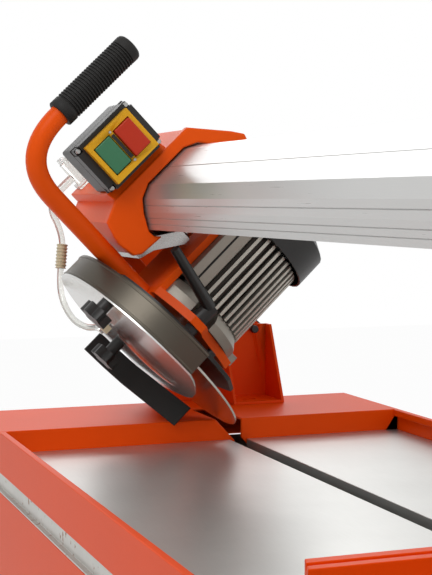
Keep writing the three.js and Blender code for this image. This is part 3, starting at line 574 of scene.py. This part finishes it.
# ---------------------------------------------------------------- switch
def make_switch():
    low, high = span("switch_box", BRIDGE)
    u0, u1, y0, y1, w0, w1 = low.x, high.x, low.y, high.y, low.z, high.z
    lid_back, rim_back = y0 + 20, y0 + 27
    bm = bmesh.new()
    rounded_box(bm, (u0 + 2, rim_back, w0), (u1 - 2, y1, w1 - 2), 5)
    rounded_box(bm, (u0, lid_back + 1, w0), (u1, rim_back - 0.5, w1), 2)
    notch = 9
    lid = [(u0 + notch, w0), (u1 - notch, w0), (u1 - notch, w0 + notch), (u1, w0 + notch), (u1, w1 - notch),
           (u1 - notch, w1 - notch), (u1 - notch, w1), (u0 + notch, w1), (u0 + notch, w1 - notch),
           (u0, w1 - notch), (u0, w0 + notch), (u0 + notch, w0 + notch)]
    part = bmesh.new()
    prism(part, lid, y0, lid_back, axis=1)
    bevel_sharp(part, 1.4, 3)
    pour(bm, part)
    rounded_box(bm, (u0 + 1, y0 + 7, w0 + 1), (u1 - 1, lid_back + 2, w1 - 1), 2)
    piece("switch_housing", bm, "carriage", "black_plastic", BRIDGE, ("switch_box",))

    screws = bmesh.new()
    for u in (u0 + notch / 2 + 0.6, u1 - notch / 2 - 0.6):
        for w in (w0 + notch / 2 + 0.6, w1 - notch / 2 - 0.6):
            profile = [(0, y0 + 2), (2.6, y0 + 2), (3.4, y0 + 3), (3.4, y0 + 8), (0, y0 + 8)]
            lathe(screws, profile, (u, w), axis=1, sides=16)
    piece("switch_lid_screws", screws, "carriage", "machined_steel", BRIDGE)

    low, high = span("switch_bezel", BRIDGE)
    green_low, green_high = span("green_button", BRIDGE)
    red_low, red_high = span("red_button", BRIDGE)
    bm = solid_of("switch_bezel", BRIDGE)
    bevel_sharp(bm, 1.3, 3)
    piece("yellow_bezel", bm, "carriage", "yellow_plastic", BRIDGE, ("switch_bezel",))

    middle = (green_high.x + red_low.x) / 2
    seal = bmesh.new()
    rounded_box(seal, (green_high.x + 0.8, low.y - 0.6, green_low.z + 3),
                (red_low.x - 0.8, low.y + 2, green_high.z - 3), 0.9)
    piece("button_divider", seal, "carriage", "black_plastic", BRIDGE)
    screws = bmesh.new()
    for w in (green_low.z - 1.5, green_high.z + 1.5):
        profile = [(0, low.y - 0.7), (1.7, low.y - 0.7), (2.1, low.y - 0.2), (2.1, low.y + 1), (0, low.y + 1)]
        lathe(screws, profile, (middle, w), axis=1, sides=16)
    piece("bezel_screws", screws, "carriage", "machined_steel", BRIDGE)

    for node, lower, upper, slot in (("green_button", green_low, green_high, "green_plastic"),
                                     ("red_button", red_low, red_high, "red_plastic")):
        bm = bmesh.new()
        rounded_box(bm, lower + Vector((0.7, 0, 0.7)), upper - Vector((0.7, 0, 0.7)), 2.2, 4)
        piece(node.replace("_button", "_push_button"), bm, node, slot, BRIDGE, (node,))


make_switch()


# ---------------------------------------------------------------- handle
def bend(start, corner, end, steps):
    """Points on a quadratic curve that leaves start and meets end along lines through the corner."""
    return [start.lerp(corner, t).lerp(corner.lerp(end, t), t) for t in (i / steps for i in range(steps + 1))]


def make_handle():
    tube_low, tube_high = span("handle_tube", BRIDGE)
    grip_low, grip_high = span("grip", BRIDGE)
    radius, knee_high, knee_reach, bend_reach = 13.5, 25, 15, 78
    foot = Vector((39, -10, tube_low.z))
    corner = Vector((25, (grip_low.y + grip_high.y) / 2, (grip_low.z + grip_high.z) / 2))
    knee = foot + Vector((0, 0, knee_high))
    lean = (corner - knee).normalized()
    line = [foot]
    line += bend(knee - Vector((0, 0, knee_reach)), knee, knee + lean * knee_reach, 6)
    line += bend(corner - lean * bend_reach, corner, corner + Vector((bend_reach, 0, 0)), 16)
    line.append(Vector((tube_high.x - 1, corner.y, corner.z)))
    bm = bmesh.new()
    tube(bm, line, radius, 28)
    piece("handle_bar", bm, "head", "head_orange", BRIDGE, ("handle_tube",))

    outer = (grip_high.z - grip_low.z) / 2
    u0, u1 = grip_low.x, grip_high.x
    rings, collar = 24, 15
    pitch = (u1 - u0 - 2 * collar) / rings
    profile = [(radius + 0.3, u0), (outer - 1.2, u0), (outer - 0.3, u0 + 1), (outer - 0.3, u0 + collar - 1.5)]
    for i in range(rings):
        at = u0 + collar + pitch * i
        profile += [(outer - 2.0, at), (outer - 2.0, at + pitch * 0.34), (outer - 0.2, at + pitch * 0.48),
                    (outer, at + pitch * 0.66), (outer - 0.3, at + pitch * 0.84)]
    profile += [(outer - 2.0, u1 - collar), (outer - 0.2, u1 - collar + 1.2), (outer, u1 - 6),
                (outer - 0.8, u1 - 2.6), (outer - 3, u1 - 0.6), (outer - 7, u1), (0, u1), (0, u1 - 5),
                (radius + 0.3, u1 - 5)]
    bm = bmesh.new()
    lathe(bm, profile, (corner.y, corner.z), sides=48)
    piece("ribbed_grip", bm, "head", "rubber", BRIDGE, ("grip",), sharp=50, weighted=False)

    bolts = bmesh.new()
    pad = span("motor_plate", BRIDGE)[1].z
    for side in (-17, 17):
        bolt(bolts, (30, foot.y + side, pad), (0, 0, 1), 13, 8)
    piece("handle_nuts", bolts, "head", "machined_steel", BRIDGE)


make_handle()


# ---------------------------------------------------------------- motor
def make_motor():
    edged("motor_plate", "head", "head_orange", BRIDGE, 2.0, 3)
    edged("motor_flange", "head", "motor_casting", BRIDGE, 1.2)
    # The fins carry painted shade that darkens towards their roots
    edged("motor_body", "head", "motor_casting", BRIDGE, 0.7, 2, look=fin_painted_shade_look)
    edged("terminal_box", "head", "motor_casting", BRIDGE, 1.5, 3)
    low, high = span("terminal_box", BRIDGE)
    seal = bmesh.new()
    rounded_box(seal, (low.x - 0.7, low.y - 0.7, high.z - 16), (high.x + 0.7, low.y + 12, high.z - 13), 0.8)
    piece("box_gasket", seal, "head", "rubber", BRIDGE)
    edged("fan_cover", "head", "black_plastic", BRIDGE, 1.0)
    edged("motor_shaft", "spindle", "machined_steel", BRIDGE, 0.6)
    edged("clamp_lever", "clamp_lever", "black_plastic", BRIDGE, 1.4, 3)


make_motor()


# ---------------------------------------------------------------- blade and guard
GUARD_R = 163
RIM_START = math.radians(10)
RIM_SWEEP = math.radians(173)


def make_blade():
    edged("blade", "spindle", "blade_steel", BRIDGE, 0.3)
    edged("blade_flange", "spindle", "machined_steel", BRIDGE, 0.8)
    edged("spindle_nut", "spindle", "machined_steel", BRIDGE, 0.8)


def make_guard():
    # The shell's dark steel carries a painted dark reflection
    edged("guard_shell", "head", "guard_steel", BRIDGE, 0.8)
    edged("guard_cover", "head", "cover_steel", BRIDGE, 0.5)
    edged("inner_guard", "head", "black_plastic", BRIDGE, 1.0)
    for end in ("upper", "lower"):
        edged(f"{end}_cover_knob", f"{end}_cover_knob", "black_plastic", BRIDGE, 1.8, 3)
    low, high = span("guard_shell", BRIDGE)
    beads = bmesh.new()
    for u in (low.x + 2, high.x - 3):
        profile = [(GUARD_R - 1, u - 2.2), (GUARD_R + 0.4, u - 1.6), (GUARD_R + 0.9, u),
                   (GUARD_R + 0.4, u + 1.6), (GUARD_R - 1, u + 2.2)]
        lathe(beads, profile, (SPINDLE.y, SPINDLE.z), sides=80, start=RIM_START, sweep=RIM_SWEEP)
    piece("rim_beads", beads, "head", "guard_steel", BRIDGE)

    tab = bmesh.new()
    cover_low = span("guard_cover", BRIDGE)[0]
    rounded_box(tab, (cover_low.x - 0.5, -50.6, 271.5), (cover_low.x + 10, -41.4, 290.5), 1.2)
    piece("cover_tab", tab, "head", "cream_plastic", BRIDGE)

    low, high = span("splash_flap", BRIDGE)
    sheet = [(152, 226), (141, 190), (121, 158), (22, 88), (19, 90), (117, 161), (137, 191), (148, 226)]
    strip, base = inset(sheet, -0.9), inset(sheet, 0.3)
    flap = bmesh.new()
    prism(flap, base, low.x, high.x)
    ribs = 11
    pitch = (high.x - low.x) / ribs
    for i in range(ribs):
        prism(flap, strip, low.x + pitch * (i + 0.25), low.x + pitch * (i + 0.75))
    piece("ribbed_flap", flap, "head", "rubber", BRIDGE, ("splash_flap",))


make_blade()
make_guard()


# ---------------------------------------------------------------- floor, lamps and world
def seen_directly(nodes, links):
    """A value of 1 for camera, glossy and transmission rays."""
    ray = nodes.new("ShaderNodeLightPath")
    value = ray.outputs["Is Camera Ray"]
    for other in ("Is Glossy Ray", "Is Transmission Ray"):
        larger = nodes.new("ShaderNodeMath")
        larger.operation = "MAXIMUM"
        links.new(value, larger.inputs[0])
        links.new(ray.outputs[other], larger.inputs[1])
        value = larger.outputs[0]
    return value


def whiten(made):
    """Blends a floor's paint towards plain white where it is seen directly, keeping some of the shadow."""
    nodes, links = made.node_tree.nodes, made.node_tree.links
    out = next(n for n in nodes if n.type == "OUTPUT_MATERIAL")
    shader = nodes["Principled BSDF"]
    glow = nodes.new("ShaderNodeEmission")
    glow.inputs["Color"].default_value = (1, 1, 1, 1)
    share = nodes.new("ShaderNodeMath")
    share.operation = "MULTIPLY"
    share.inputs[1].default_value = 0.96
    links.new(seen_directly(nodes, links), share.inputs[0])
    mix = nodes.new("ShaderNodeMixShader")
    links.new(share.outputs[0], mix.inputs["Fac"])
    links.new(shader.outputs[0], mix.inputs[1])
    links.new(glow.outputs[0], mix.inputs[2])
    links.new(mix.outputs[0], out.inputs["Surface"])


def make_stage():
    size = 9.0
    mesh = bpy.data.meshes.new("floor")
    corners = [(-size, -size, 0), (size, -size, 0), (size, size, 0), (-size, size, 0)]
    mesh.from_pydata(corners, [], [(0, 1, 2, 3)])
    floor = bpy.data.objects.new("floor", mesh)
    bpy.context.scene.collection.objects.link(floor)
    paint = finish("floor_paint", (0.82, 0.82, 0.81), 0.6, grain=20, bump=0.0, shade=0.02)
    whiten(paint)
    mesh.materials.append(paint)

    def lamp(name, at, aim, power, width):
        data = bpy.data.lights.new(name, "AREA")
        data.energy = power
        data.size = width
        made = bpy.data.objects.new(name, data)
        made.location = at
        made.rotation_euler = (Vector(aim) - Vector(at)).to_track_quat("-Z", "Y").to_euler()
        bpy.context.scene.collection.objects.link(made)

    middle = (0, 0.3, 0.9)
    lamp("key", (-1.5, -1.3, 3.0), middle, 30, 1.4)
    lamp("fill", (2.2, -1.8, 1.8), middle, 7, 2.0)
    lamp("back", (0.6, 2.6, 2.4), middle, 16, 1.6)

    world = bpy.data.worlds.new("studio")
    bpy.context.scene.world = world
    world.use_nodes = True
    nodes, links = world.node_tree.nodes, world.node_tree.links
    nodes.clear()
    white = nodes.new("ShaderNodeBackground")
    white.inputs["Color"].default_value = (1, 1, 1, 1)
    ambient = nodes.new("ShaderNodeBackground")
    ambient.inputs["Color"].default_value = (0.42, 0.42, 0.42, 1)
    mix = nodes.new("ShaderNodeMixShader")
    links.new(seen_directly(nodes, links), mix.inputs["Fac"])
    links.new(ambient.outputs[0], mix.inputs[1])
    links.new(white.outputs[0], mix.inputs[2])
    out = nodes.new("ShaderNodeOutputWorld")
    links.new(mix.outputs[0], out.inputs["Surface"])
    bpy.context.scene.view_settings.view_transform = "Standard"


make_stage()
